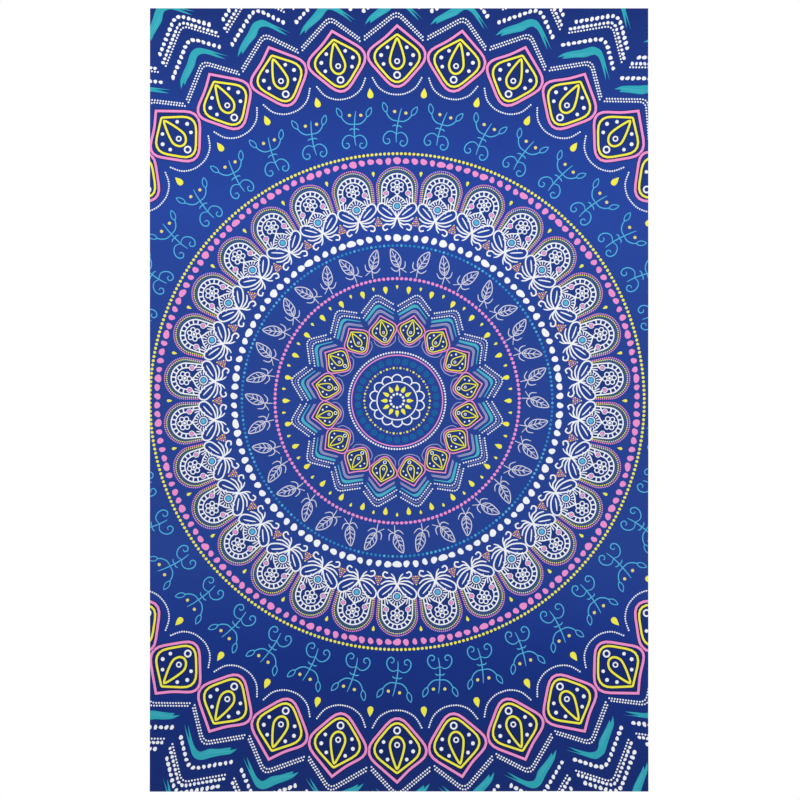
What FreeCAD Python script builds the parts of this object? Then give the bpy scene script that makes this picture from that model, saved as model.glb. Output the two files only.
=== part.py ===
"""Printed cloth wall hanging: one sheet of thin cloth with its four edges turned under twice and sewn.

Millimetres. X runs across the hanging, Z up it and Y through it. The wall is the plane Y = 0, the
printed face looks along -Y, and the origin is the middle of the top edge, where the hanging is held.
"""

import FreeCAD, Part
import math
import os
import Sketcher

DOC = FreeCAD.newDocument("wall_hanging")

# ---------------------------------------------------------------------------------------- dimensions
DIMENSIONS = [
    ("cloth_width", "1400", "finished width, fold to fold"),
    ("cloth_drop", "2200", "finished height, fold to fold"),
    ("cloth_thick", "0.35", "thickness of one layer of the cloth"),
    ("layer_gap", "0.1", "air between folded layers"),
    ("hem_width", "12", "depth of a finished hem"),
    ("raw_edge", "1.6", "from the finished edge to the raw edge tucked inside the hem"),
    ("seam_inset", "10", "from the finished edge to the middle of the seam"),
    ("thread_wide", "0.4", "width of the groove that a row of stitches pulls into the cloth"),
    ("thread_sunk", "0.15", "depth of that groove, which the thread fills"),
    ("hem_thick", "=3 * cloth_thick + 2 * layer_gap", "three layers with the air between them"),
    ("edge_round", "=hem_thick / 2", "outer radius of the fold at the finished edge"),
    ("turn_round", "=(2 * cloth_thick + layer_gap) / 2", "outer radius of the inner fold"),
    ("side_length", "=cloth_drop - 2 * hem_width", "a side hem, between the top and bottom hems"),
]

sheet = DOC.addObject("Spreadsheet::Sheet", "dims")
for row, (alias, value, meaning) in enumerate(DIMENSIONS, start=1):
    sheet.set("A%d" % row, meaning)
    sheet.set("B%d" % row, value)
    sheet.setAlias("B%d" % row, alias)
DOC.recompute()


def bind(obj, **expressions):
    """Bind properties to expressions; a double underscore in a name stands for a dot."""
    for name, expression in expressions.items():
        obj.setExpression(name.replace("__", "."), expression)


def place(obj, x="0", y="0", z="0"):
    """Bind the position of an object."""
    bind(obj, Placement__Base__x=x, Placement__Base__y=y, Placement__Base__z=z)


# ------------------------------------------------------------------------------------ sketch helpers
def new_sketch(body, name, plane_role):
    """A sketch on one of the body's own origin planes."""
    sketch = body.newObject("Sketcher::SketchObject", name)
    plane = [f for f in body.Origin.OriginFeatures if f.Role == plane_role][0]
    sketch.AttachmentSupport = [(plane, "")]
    sketch.MapMode = "FlatFace"
    return sketch


def dimension(sketch, name, constraint, expression):
    """A named dimension that follows an expression of the sheet."""
    index = sketch.addConstraint(constraint)
    sketch.renameConstraint(index, name)
    sketch.setExpression("Constraints." + name, expression)


def value_of(expression):
    """The number that an expression of the sheet gives now."""
    result = sheet.evalExpression(expression.replace("dims.", ""))
    return float(getattr(result, "Value", result))


def stepped_outline(sketch, tag, corners):
    """A closed outline of alternate horizontal and vertical lines; the first line is horizontal."""
    points = [FreeCAD.Vector(value_of(across), value_of(up), 0) for across, up in corners]
    count = len(points)
    lines = []
    for index in range(count):
        segment = Part.LineSegment(points[index], points[(index + 1) % count])
        lines.append(sketch.addGeometry(segment, False))
    for index, line in enumerate(lines):
        following = lines[(index + 1) % count]
        sketch.addConstraint(Sketcher.Constraint("Coincident", line, 2, following, 1))
        across, up = corners[index]
        if index % 2 == 0:
            sketch.addConstraint(Sketcher.Constraint("Horizontal", line))
            level = Sketcher.Constraint("DistanceY", line, 1, value_of(up))
            dimension(sketch, "%s_up_%d" % (tag, index), level, up)
        else:
            sketch.addConstraint(Sketcher.Constraint("Vertical", line))
            offset = Sketcher.Constraint("DistanceX", line, 1, value_of(across))
            dimension(sketch, "%s_across_%d" % (tag, index), offset, across)


# --------------------------------------------------------------------------------------- cloth panel
def cloth_panel():
    """The flat single layer inside the folds, with a groove under each row of needle stitches."""
    body = DOC.addObject("PartDesign::Body", "cloth_panel")
    half = "dims.cloth_width / 2"
    drop = "dims.cloth_drop"
    curve = "dims.edge_round"
    hem = "dims.hem_width"

    # Between the side hems the panel stops where their fold begins. Past their ends it runs to the
    # full width, so that the top and bottom hems have one layer in front of them all along.
    inner = "(%s - %s)" % (half, curve)
    outline = new_sketch(body, "panel_outline", "XZ_Plane")
    corners = [
        ("-%s" % half, "-%s" % curve),
        ("%s" % half, "-%s" % curve),
        ("%s" % half, "-%s" % hem),
        ("%s" % inner, "-%s" % hem),
        ("%s" % inner, "-(%s - %s)" % (drop, hem)),
        ("%s" % half, "-(%s - %s)" % (drop, hem)),
        ("%s" % half, "-(%s - %s)" % (drop, curve)),
        ("-%s" % half, "-(%s - %s)" % (drop, curve)),
        ("-%s" % half, "-(%s - %s)" % (drop, hem)),
        ("-%s" % inner, "-(%s - %s)" % (drop, hem)),
        ("-%s" % inner, "-%s" % hem),
        ("-%s" % half, "-%s" % hem),
    ]
    stepped_outline(outline, "edge", corners)
    pad = body.newObject("PartDesign::Pad", "panel_pad")
    pad.Profile = outline
    bind(pad, Length="dims.cloth_thick")
    DOC.recompute()

    grooves = new_sketch(body, "needle_grooves", "XZ_Plane")
    bind(grooves, AttachmentOffset__Base__z="dims.cloth_thick")
    near = "(dims.seam_inset - dims.thread_wide / 2)"
    far = "(dims.seam_inset + dims.thread_wide / 2)"
    for tag, top, bottom in (
        ("top", "-%s" % near, "-%s" % far),
        ("bottom", "-(%s - %s)" % (drop, far), "-(%s - %s)" % (drop, near)),
    ):
        box = [("-" + half, top), (half, top), (half, bottom), ("-" + half, bottom)]
        stepped_outline(grooves, tag, box)
    low = "-(%s - %s)" % (drop, hem)
    high = "-" + hem
    for tag, left, right in (
        ("left", "-(%s - %s)" % (half, near), "-(%s - %s)" % (half, far)),
        ("right", "(%s - %s)" % (half, far), "(%s - %s)" % (half, near)),
    ):
        stepped_outline(grooves, tag, [(left, high), (right, high), (right, low), (left, low)])
    pocket = body.newObject("PartDesign::Pocket", "groove_pocket")
    pocket.Profile = grooves
    bind(pocket, Length="dims.thread_sunk")
    DOC.recompute()
    place(body, y="-(dims.hem_thick - dims.cloth_thick)")
    return body


# ---------------------------------------------------------------------------------------------- hems
def hem_profile(body):
    """Section of a hem: X is the distance in from the finished edge, Y the depth from the front.

    The cloth comes over the finished edge, runs in along the back, turns under and runs out again
    between the back layer and the panel. A groove in the back layer takes the bobbin thread.
    """
    sketch = new_sketch(body, body.Name + "_profile", "XY_Plane")
    thick = value_of("dims.cloth_thick")
    gap = value_of("dims.layer_gap")
    total = value_of("dims.hem_thick")
    outer = value_of("dims.edge_round")
    turn = value_of("dims.turn_round")
    turn_x = value_of("dims.hem_width") - turn
    turn_y = total - turn
    raw = value_of("dims.raw_edge")
    near = value_of("dims.seam_inset") - value_of("dims.thread_wide") / 2
    far = near + value_of("dims.thread_wide")
    floor = total - value_of("dims.thread_sunk")

    def point(across, depth):
        return FreeCAD.Vector(across, depth, 0)

    def line(start, finish):
        return sketch.addGeometry(Part.LineSegment(point(*start), point(*finish)), False)

    def half_turn(middle, radius, opens_right):
        """Half a circle, anticlockwise: its first end is the upper one where it opens right."""
        first = math.pi / 2 if opens_right else -math.pi / 2
        circle = Part.Circle(point(*middle), FreeCAD.Vector(0, 0, 1), radius)
        return sketch.addGeometry(Part.ArcOfCircle(circle, first, first + math.pi), False)

    back_out = line((outer, total), (near, total))
    groove_in = line((near, total), (near, floor))
    groove_floor = line((near, floor), (far, floor))
    groove_out = line((far, floor), (far, total))
    back_in = line((far, total), (turn_x, total))
    turn_out = half_turn((turn_x, turn_y), turn, False)
    tucked_front = line((turn_x, turn_y - turn), (raw, turn_y - turn))
    raw_end = line((raw, turn_y - turn), (raw, turn_y - gap / 2))
    tucked_back = line((raw, turn_y - gap / 2), (turn_x, turn_y - gap / 2))
    turn_in = half_turn((turn_x, turn_y), gap / 2, False)
    back_inside = line((turn_x, turn_y + gap / 2), (outer, total - thick))
    edge_in = half_turn((outer, outer), outer - thick, True)
    front_end = line((outer, thick), (outer, 0))
    edge_out = half_turn((outer, outer), outer, True)

    # Each pair is an end of one piece and the end of the next that it meets.
    start, finish, centre = 1, 2, 3
    meetings = [
        (back_out, finish, groove_in, start),
        (groove_in, finish, groove_floor, start),
        (groove_floor, finish, groove_out, start),
        (groove_out, finish, back_in, start),
        (back_in, finish, turn_out, finish),
        (turn_out, start, tucked_front, start),
        (tucked_front, finish, raw_end, start),
        (raw_end, finish, tucked_back, start),
        (tucked_back, finish, turn_in, start),
        (turn_in, finish, back_inside, start),
        (back_inside, finish, edge_in, start),
        (edge_in, finish, front_end, start),
        (front_end, finish, edge_out, finish),
        (edge_out, start, back_out, start),
        (edge_in, centre, edge_out, centre),
        (turn_in, centre, turn_out, centre),
    ]
    for meeting in meetings:
        sketch.addConstraint(Sketcher.Constraint("Coincident", *meeting))
    for piece in (back_out, groove_floor, back_in, tucked_front, tucked_back, back_inside):
        sketch.addConstraint(Sketcher.Constraint("Horizontal", piece))
    for piece in (groove_in, groove_out, raw_end, front_end):
        sketch.addConstraint(Sketcher.Constraint("Vertical", piece))
    for piece, end in ((edge_out, start), (edge_out, finish), (edge_in, start), (turn_out, start),
                       (turn_out, finish), (turn_in, start), (turn_in, finish)):
        sketch.addConstraint(Sketcher.Constraint("Vertical", piece, end, piece, centre))

    measures = [
        ("edge_radius", ("Radius", edge_out, outer), "dims.edge_round"),
        ("turn_radius", ("Radius", turn_out, turn), "dims.turn_round"),
        ("turn_inside", ("Radius", turn_in, gap / 2), "dims.layer_gap / 2"),
        ("edge_x", ("DistanceX", edge_out, centre, outer), "dims.edge_round"),
        ("edge_y", ("DistanceY", edge_out, centre, outer), "dims.edge_round"),
        ("turn_x", ("DistanceX", turn_out, centre, turn_x), "dims.hem_width - dims.turn_round"),
        ("raw_x", ("DistanceX", raw_end, start, raw), "dims.raw_edge"),
        ("groove_x", ("DistanceX", groove_in, start, near), "dims.seam_inset - dims.thread_wide / 2"),
        ("groove_wide", ("DistanceX", groove_floor, start, groove_floor, finish, far - near),
         "dims.thread_wide"),
        ("groove_deep", ("DistanceY", groove_in, finish, floor), "dims.hem_thick - dims.thread_sunk"),
        ("level_back", ("DistanceY", back_in, start, total), "dims.hem_thick"),
    ]
    for name, constraint, expression in measures:
        dimension(sketch, name, Sketcher.Constraint(*constraint), expression)
    return sketch


def hem(name, length, turned, x, z):
    """A hem drawn as its section and run along one edge; turned is its angle about Y."""
    body = DOC.addObject("PartDesign::Body", name)
    profile = hem_profile(body)
    pad = body.newObject("PartDesign::Pad", name + "_run")
    pad.Profile = profile
    bind(pad, Length=length)
    DOC.recompute()
    body.Placement = FreeCAD.Placement(
        FreeCAD.Vector(0, 0, 0), FreeCAD.Rotation(FreeCAD.Vector(0, 1, 0), turned)
    )
    place(body, x=x, y="-dims.hem_thick", z=z)
    return body


# ------------------------------------------------------------------------------------------- threads
def thread(name, on_front, along_x, x, z):
    """A row of lockstitches drawn as the plain strip that it fills, flush with the cloth."""
    strip = DOC.addObject("Part::Box", name)
    if along_x:
        bind(strip, Length="dims.cloth_width", Height="dims.thread_wide")
    else:
        bind(strip, Length="dims.thread_wide", Height="dims.side_length")
    bind(strip, Width="dims.thread_sunk")
    place(strip, x=x, y="-dims.hem_thick" if on_front else "-dims.thread_sunk", z=z)
    return strip


HALF = "dims.cloth_width / 2"
DROP = "dims.cloth_drop"
NEAR = "(dims.seam_inset - dims.thread_wide / 2)"
FAR = "(dims.seam_inset + dims.thread_wide / 2)"

pieces = [
    cloth_panel(),
    hem("top_hem", "dims.cloth_width", 90, "-" + HALF, "0"),
    hem("bottom_hem", "dims.cloth_width", -90, HALF, "-" + DROP),
    hem("left_hem", "dims.side_length", 0, "-" + HALF, "-(%s - dims.hem_width)" % DROP),
    hem("right_hem", "dims.side_length", 180, HALF, "-dims.hem_width"),
]
for face, on_front in (("needle", True), ("bobbin", False)):
    low = "-(%s - dims.hem_width)" % DROP
    pieces += [
        thread("top_%s_thread" % face, on_front, True, "-" + HALF, "-" + FAR),
        thread("bottom_%s_thread" % face, on_front, True, "-" + HALF, "-(%s - %s)" % (DROP, NEAR)),
        thread("left_%s_thread" % face, on_front, False, "-(%s - %s)" % (HALF, NEAR), low),
        thread("right_%s_thread" % face, on_front, False, "(%s - %s)" % (HALF, FAR), low),
    ]

# ----------------------------------------------------------------------------------- check and write
DOC.recompute()
for item in DOC.Objects:
    if "Invalid" in item.State or "Error" in item.State:
        raise RuntimeError("%s did not recompute: %s" % (item.Name, item.State))
for piece in pieces:
    shape = piece.Shape
    if shape.isNull() or not shape.isValid() or len(shape.Solids) != 1:
        raise RuntimeError("%s is not one valid solid" % piece.Label)

os.makedirs("parts", exist_ok=True)
for piece in pieces:
    piece.Shape.exportStep("parts/%s.step" % piece.Label)
    box = piece.Shape.BoundBox
    print("%-22s %12.2f mm3  X %8.2f %8.2f  Y %6.3f %6.3f  Z %9.2f %9.2f" % (
        piece.Label, piece.Shape.Volume, box.XMin, box.XMax, box.YMin, box.YMax, box.ZMin, box.ZMax))
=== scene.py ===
"""A printed cloth wall hanging: thin woven cloth with turned and sewn edges, hung by its top hem.

Metres, in the part's own frame: X across, Z up, the printed face looks along -Y and the wall is Y = 0.
"""

import math
import random

import bmesh
import bpy
import numpy as np
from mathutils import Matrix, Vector
from mathutils.geometry import delaunay_2d_cdt


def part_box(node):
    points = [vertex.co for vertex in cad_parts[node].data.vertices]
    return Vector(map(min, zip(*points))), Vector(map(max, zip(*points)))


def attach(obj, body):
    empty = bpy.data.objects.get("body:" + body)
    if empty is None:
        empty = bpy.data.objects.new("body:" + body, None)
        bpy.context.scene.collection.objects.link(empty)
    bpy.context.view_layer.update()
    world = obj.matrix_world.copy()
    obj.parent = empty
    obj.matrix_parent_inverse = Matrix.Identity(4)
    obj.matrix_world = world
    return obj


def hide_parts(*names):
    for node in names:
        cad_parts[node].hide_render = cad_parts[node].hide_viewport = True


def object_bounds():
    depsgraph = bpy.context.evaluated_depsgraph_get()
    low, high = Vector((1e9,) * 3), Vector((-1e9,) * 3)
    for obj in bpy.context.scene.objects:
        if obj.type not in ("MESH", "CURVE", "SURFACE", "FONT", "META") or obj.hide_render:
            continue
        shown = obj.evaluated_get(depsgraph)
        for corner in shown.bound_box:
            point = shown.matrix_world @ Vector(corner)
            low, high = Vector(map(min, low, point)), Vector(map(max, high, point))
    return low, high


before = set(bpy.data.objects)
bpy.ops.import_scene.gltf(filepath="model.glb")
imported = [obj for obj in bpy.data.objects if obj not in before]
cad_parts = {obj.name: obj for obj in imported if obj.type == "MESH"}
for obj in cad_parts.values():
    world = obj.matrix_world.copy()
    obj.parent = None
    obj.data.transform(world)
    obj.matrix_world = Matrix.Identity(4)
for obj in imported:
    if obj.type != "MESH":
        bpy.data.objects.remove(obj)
cad_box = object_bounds()

# ------------ sizes from the frame
MM = 0.001
PANEL_LOW, PANEL_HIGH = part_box("cloth_panel")
TOP_LOW, TOP_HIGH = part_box("top_hem")
SEAM_LOW, SEAM_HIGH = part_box("top_needle_thread")
LEFT_X, FRONT_Y, FOOT_Z = cad_box[0]
RIGHT_X, WALL_Y, TOP_Z = cad_box[1]
WIDTH = RIGHT_X - LEFT_X
DROP = TOP_Z - FOOT_Z
CLOTH_THICK = PANEL_HIGH[1] - PANEL_LOW[1]
HEM_THICK = WALL_Y - FRONT_Y
HEM_WIDTH = TOP_HIGH[2] - TOP_LOW[2]
EDGE_ROUND = TOP_Z - PANEL_HIGH[2]
SEAM_INSET = TOP_Z - (SEAM_LOW[2] + SEAM_HIGH[2]) / 2
MIDDLE_Z = (TOP_Z + FOOT_Z) / 2

RANDOM = random.Random(20)


# ------------ drawing on the cloth
# The print is drawn out up and down, most of all along the sides and at the foot: the shares that
# are added to a height one metre out from the middle line, and one metre below the middle.
SIDE_STRETCH = 0.018
FOOT_STRETCH = 0.015
# A line's corners are mitred, up to this cosine of half the turn.
SHARPEST_MITRE = 0.45


def drawn_out(x, y):
    """A height on the print, where it lies once the cloth is drawn out."""
    return y * (1 + SIDE_STRETCH * x ** 2 + FOOT_STRETCH * min(y, 0) ** 2)


class Artwork:
    """Flat inked shapes, in the order they are printed.

    Places are in metres from the middle of the cloth; widths, radii and gaps are in mm.
    """

    def __init__(self, middle):
        self.middle = middle
        self.shapes = []

    def fill(self, ink, outline):
        """An inked shape; one that misses the cloth and its hems is left out."""
        points = [(x + self.middle[0], drawn_out(x, y) + self.middle[1]) for x, y in outline]
        reach_x = WIDTH / 2 + 2 * HEM_WIDTH
        reach_y = DROP / 2 + 2 * HEM_WIDTH
        if min(abs(x) for x, y in points) > reach_x or min(abs(y) for x, y in points) > reach_y:
            return
        self.shapes.append((ink, points))

    def line(self, ink, path, width, closed=False, taper=0.0):
        """An inked line along a path; taper is the share of its width that each end loses."""
        last = len(path) - 1
        sides = []
        for index, (x, y) in enumerate(path):
            before = path[index - 1] if index or closed else path[index]
            after = path[(index + 1) % len(path)] if index < last or closed else path[index]
            arrive = unit(x - before[0], y - before[1]) or unit(after[0] - x, after[1] - y)
            leave = unit(after[0] - x, after[1] - y) or arrive
            along = (arrive[0] + leave[0], arrive[1] + leave[1])
            cosine = max(math.hypot(*along) / 2, SHARPEST_MITRE)
            along = unit(*along) or arrive
            half = width * MM / 2 * (1 - taper * abs(2 * index / last - 1) ** 2.5) / cosine
            sides.append(((x - along[1] * half, y + along[0] * half),
                          (x + along[1] * half, y - along[0] * half)))
        for index in range(len(path) if closed else last):
            near, far = sides[index], sides[(index + 1) % len(path)]
            self.fill(ink, [near[0], near[1], far[1], far[0]])

    def dot(self, ink, centre, radius, sides=8):
        """A round dot."""
        self.fill(ink, circle(centre, radius, sides))

    def blob(self, ink, centre, radius, stretch=1.0, lean=0.0, rough=0.1, sides=16):
        """A dot daubed by hand: longer one way, and not quite round."""
        swell = [RANDOM.uniform(0, 2 * math.pi) for harmonic in range(2)]
        outline = []
        for index in range(sides):
            angle = 2 * math.pi * index / sides
            wave = math.cos(2 * angle + swell[0]) + 0.6 * math.cos(3 * angle + swell[1])
            reach = radius * MM * (1 + rough * wave)
            x = reach * math.cos(angle) * stretch
            y = reach * math.sin(angle)
            outline.append((centre[0] + x * math.cos(lean) - y * math.sin(lean),
                            centre[1] + x * math.sin(lean) + y * math.cos(lean)))
        self.fill(ink, outline)

    def dots(self, ink, path, gap, radius, sides=8):
        """Dots evenly along a path."""
        for point in spaced(path, gap):
            self.dot(ink, point, radius, sides)


class Spot:
    """A place on the mandala. Local points are (across, out) in mm; out leads away from the middle."""

    def __init__(self, turn, radius, mirror=False, lean=0.0):
        self.angle = 2 * math.pi * turn
        self.radius = radius
        self.side = -1 if mirror else 1
        self.lean = lean

    def __call__(self, across, out=0.0):
        x = across * math.cos(self.lean) - out * math.sin(self.lean)
        y = across * math.sin(self.lean) + out * math.cos(self.lean)
        x = self.side * x * MM
        y = (self.radius + y) * MM
        return (x * math.cos(self.angle) + y * math.sin(self.angle),
                y * math.cos(self.angle) - x * math.sin(self.angle))

    def path(self, points):
        """Local points as places on the print."""
        return [self(across, out) for across, out in points]

    def curve(self, points, steps, side=1, closed=False):
        """A smooth curve through local points, or with side -1 through their mirror images."""
        return self.path(smooth(mirrored(points, side), steps, closed))


def unit(x, y):
    """The direction of (x, y), or None where it has none."""
    size = math.hypot(x, y)
    return (x / size, y / size) if size > 1e-9 else None


def mirrored(points, side):
    """The points, or with side -1 their mirror images."""
    return [(side * x, y) for x, y in points]


def circle(centre, radius, sides):
    """The corners of a circle of so many sides, its radius in mm."""
    radius *= MM
    step = 2 * math.pi / sides
    return [(centre[0] + radius * math.cos(step * i), centre[1] + radius * math.sin(step * i))
            for i in range(sides)]


def smooth(points, steps=5, closed=False):
    """A smooth curve through given points."""
    count = len(points)
    spans = count if closed else count - 1
    curve = []
    for span in range(spans):
        near = range(span - 1, span + 3)
        p = [points[k % count if closed else min(max(k, 0), count - 1)] for k in near]
        for step in range(steps):
            t = step / steps
            weights = (-t + 2 * t * t - t ** 3, 2 - 5 * t * t + 3 * t ** 3,
                       t + 4 * t * t - 3 * t ** 3, -t * t + t ** 3)
            curve.append(tuple(sum(w * q[axis] for w, q in zip(weights, p)) / 2 for axis in (0, 1)))
    if not closed:
        curve.append(points[-1])
    return curve


def rounded(corners, closed=True, steps=5):
    """An outline of straight sides whose corners, given as (x, y, cut), are rounded off over cut."""
    count = len(corners)
    outline = []
    for index, (x, y, cut) in enumerate(corners):
        if cut == 0 or (not closed and index in (0, count - 1)):
            outline.append((x, y))
            continue
        before = corners[index - 1]
        after = corners[(index + 1) % count]
        back = unit(before[0] - x, before[1] - y)
        ahead = unit(after[0] - x, after[1] - y)
        for step in range(steps + 1):
            t = step / steps
            a, b = cut * (1 - t) ** 2, cut * t ** 2
            outline.append((x + back[0] * a + ahead[0] * b, y + back[1] * a + ahead[1] * b))
    return outline


def reach_along(path):
    """How far along a path each of its points is."""
    reach = [0.0]
    for (x0, y0), (x1, y1) in zip(path, path[1:]):
        reach.append(reach[-1] + math.hypot(x1 - x0, y1 - y0))
    return reach


def spaced(path, gap):
    """Points evenly along an open path, near gap mm apart, both ends included."""
    reach = reach_along(path)
    count = max(round(reach[-1] / (gap * MM)), 1)
    wanted = [reach[-1] * index / count for index in range(count + 1)]
    return list(zip(*(np.interp(wanted, reach, way).tolist() for way in zip(*path))))


def drop(art, ink, spot, length, width, tip_out=True):
    """A teardrop along the spot's own ray."""
    way = 1 if tip_out else -1
    outline = []
    for index in range(14):
        t = 2 * math.pi * index / 14
        across = width / 2 * 1.25 * math.sin(t) * abs(math.sin(t / 2)) ** 1.3
        outline.append(spot(across, way * length / 2 * math.cos(t)))
    art.fill(ink, outline)


def around(count, offset=0.0):
    """The turns of count even places round the mandala, from the top, clockwise."""
    return [(index + offset) / count for index in range(count)]


# ------------ the print's motifs
# How far the rings of the print lie from its middle, in mm.
FLOWER_DOTS_AT = 19
FLOWER_SEEDS_AT = 36.5
PETALS_AT = 55
HOOP_AT = 56
SEEDS_AT = 92
ROSETTES_AT = 110.5
PINK_LINE_AT = 128
WHITE_BEADS_AT = 136
SMALL_JEWELS_AT = 201
LONG_DROPS_AT = 311
SHORT_DROPS_AT = 319
PINK_BEADS_AT = 343
LEAVES_AT = 388
BLUE_BEADS_AT = 436
WHITE_PEBBLES_AT = 458
ARCHES_AT = 483
BERRIES_AT = 517
ARCH_DROPS_AT = 639
PINK_PEBBLES_AT = 674
YELLOW_BEADS_AT = 694
SPRIGS_AT = 769
BIG_DROPS_AT = 867
LARGE_JEWELS_AT = 966
BRUSHES_AT = (1131, 1284)

# How many times the main motifs go round it.
PETALS = 14
ARCHES = 30
SMALL_JEWELS = 16
LEAVES = 36
SPRIGS = 40
LARGE_JEWELS = 36


def oval(points):
    """Points drawn in a little up and down, as the flower is wider than it is high."""
    return [(x * 1.01, y * 0.955) for x, y in points]


def heart_flower(art):
    """The flower in the middle: dots, yellow seeds and scalloped petals."""
    pen = 3.3
    for turn in around(12):
        art.dot("white", Spot(turn, FLOWER_DOTS_AT)(0), 3.6, 10)
        drop(art, "yellow", Spot(turn, FLOWER_SEEDS_AT), 20, 12)
    art.line("white", oval(circle((0, 0), HOOP_AT, 72)), pen, closed=True)
    half = HOOP_AT * math.pi / PETALS * 1.08
    petal = [(-half, 3), (-half * 1.05, 11), (-half * 0.6, 19), (0, 22),
             (half * 0.6, 19), (half * 1.05, 11), (half, 3)]
    for turn in around(PETALS):
        art.line("white", oval(Spot(turn, PETALS_AT).curve(petal, 3)), pen)


def seed_rings(art):
    """Small dots, dark teal rosettes, a thin pink line and a row of beads round the flower."""
    for turn in around(30, 0.5):
        art.dot("yellow", Spot(turn, SEEDS_AT)(0), 3.3)
    for turn in around(30):
        art.dot("cream", Spot(turn, SEEDS_AT)(0), 1.9, 6)
        place = Spot(turn, ROSETTES_AT)(0)
        art.blob("deep_teal", place, 8.6, rough=0.03, sides=14)
        art.line("dark_teal", circle(place, 4.6, 10), 1.7, closed=True)
    art.line("pink", circle((0, 0), PINK_LINE_AT, 120), 3.2, closed=True)
    for turn in around(110):
        art.dot("white", Spot(turn, WHITE_BEADS_AT)(0), 2.8)


def jewel(art, spot, size, loose):
    """A pink diamond with a yellow one inside it, and in that a leaf that holds a ring and seeds."""
    def scaled(points):
        return spot.path([(across * size, out * size) for across, out in points])

    pen = 7.2 * size
    fine = 6.0 * size
    shadow = 4.6 * size
    outline = rounded([(0, 88, 0), (96, 8, 46), (0, -101, 46), (-97, 8, 40), (-34, 54, 18)])
    inner = rounded([(0, 64, 4), (79, 5, 42), (0, -86, 40), (-79, 5, 42)])
    leaf = smooth([(0, 52), (-9, 34), (-18, 5), (-20, -14), (-12, -29), (0, -34),
                   (12, -29), (20, -14), (18, 5), (9, 34)], 3, closed=True)
    lines = (("pink", outline, pen), ("yellow", inner, fine), ("yellow", leaf, fine))
    art.fill("deep", scaled(outline))
    for ink, path, width in lines:
        art.line("night", scaled(path), width + shadow, closed=True)
    for ink, path, width in lines:
        art.line(ink, scaled(path), width, closed=True)
    for out, radius, width in ((-12, 6.4, 3.6), (-51, 8.6, 4.4)):
        ring = circle(spot(0, out * size), radius * size, 12)
        art.line("white", ring, width * size, closed=True)
    for side in (-1, 1):
        for across, out, radius in loose:
            art.dot("white", spot(side * across * size, out * size), radius * size, 8)


def chevron(apex, left, right, cut, slopes=(0.9, 0.9)):
    """The path of a chevron whose point is at apex; left and right are how far its legs reach."""
    corners = [(-left, apex - slopes[0] * left, 0), (0, apex, cut), (right, apex - slopes[1] * right, 0)]
    return rounded(corners, closed=False)


def inner_jewels(art):
    """Small diamonds with their bracket lines and a stack of chevrons outside each."""
    bracket = [(-31, -21), (-27, -35), (-12, -44.5), (0, -46.5), (12, -44.5), (27, -35), (31, -21)]
    for turn in around(SMALL_JEWELS, 0.5):
        spot = Spot(turn, SMALL_JEWELS_AT)
        jewel(art, spot, 0.485, ((33, 18, 6.0), (44, -7, 5.0)))
        art.line("lavender", spot.curve(bracket, 3), 2.6, taper=0.4)
        for apex in (62.0, 57.5):
            art.line("lavender", spot.path(chevron(apex, 38, 36, 14)), 3.2, taper=0.3)
        sweep = spot.path(chevron(75, 43, 38, 16))
        art.line("teal_light", sweep, 4.5, taper=0.5)
        art.line("teal_light", sweep[:-2], 8.6, taper=0.35)
        art.dots("white", spot.path(chevron(88, 47, 41, 16)), 7.0, 2.25)
        art.line("lavender", spot.path(chevron(96.5, 44, 38, 16)), 1.8, taper=0.5)
        art.dots("white", spot.path(chevron(105.5, 49, 42, 16)), 7.0, 2.35)


def seed_sprinkle(art):
    """Long and short drops, then a ring of pink beads."""
    for turn in around(30, 0.5):
        drop(art, "yellow", Spot(turn, LONG_DROPS_AT), 22, 14, tip_out=False)
    for turn in around(30):
        drop(art, "yellow", Spot(turn, SHORT_DROPS_AT), 11.5, 7.5, tip_out=False)
    for turn in around(170):
        art.blob("pink", Spot(turn, PINK_BEADS_AT)(0), 4.5, 1.08, -2 * math.pi * turn, 0.06, 9)


def leaf_sprays(art):
    """Small pale line drawings of a leaf on a forked stem, leaning left and right by turns."""
    pen = 2.7
    blade = [(0, 42), (11, 26), (14, 8), (8, -7), (0, -13), (-9, -6), (-13, 8), (-9, 26)]
    frond = [(0, -18), (9, -22), (17, -17), (22, -5)]
    for index, turn in enumerate(around(LEAVES)):
        spot = Spot(turn, LEAVES_AT, mirror=index % 2 == 1, lean=math.radians(24))
        art.line("pale", spot.curve(blade, 3, closed=True), pen, closed=True)
        for stem in ([(0, 38), (0, -16), (-9, -38)], [(0, -16), (13, -36)]):
            art.line("pale", spot.path(stem), pen, taper=0.3)
        for out, reach in ((22, 7), (10, 11), (-2, 8)):
            for side in (-1, 1):
                vein = [(0, out - 7), (side * reach, out + 2)]
                art.line("pale", spot.path(vein), pen * 0.8)
        for side in (-1, 1):
            art.line("pale", spot.curve(frond, 3, side), pen, taper=0.5)


def pebble_ring(art, ink, radius, groups, size):
    """Daubed pebbles in fives round the mandala, the first of each five being longer."""
    for index, turn in enumerate(around(groups * 5)):
        first = index % 5 == 0
        grown = 1.02 if first else RANDOM.uniform(0.9, 1.04)
        stretch = 1.3 if first else RANDOM.uniform(0.86, 1.08)
        lean = -2 * math.pi * turn + RANDOM.uniform(-0.2, 0.2)
        art.blob(ink, Spot(turn, radius + RANDOM.uniform(-1, 1))(0), size * grown, stretch, lean)


def pebble_rings(art):
    """Fine blue beads and white pebbles inside the arches, pink and yellow ones outside them."""
    for turn in around(226):
        art.dot(RANDOM.choice(("sea", "sea", "aqua")), Spot(turn, BLUE_BEADS_AT)(0), 3.7)
    pebble_ring(art, "white", WHITE_PEBBLES_AT, 22, 9.3)
    pebble_ring(art, "pink", PINK_PEBBLES_AT, 34, 8.8)
    for turn in around(370):
        art.blob("yellow", Spot(turn, YELLOW_BEADS_AT)(0), 4.2, rough=0.05, sides=9)


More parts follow.
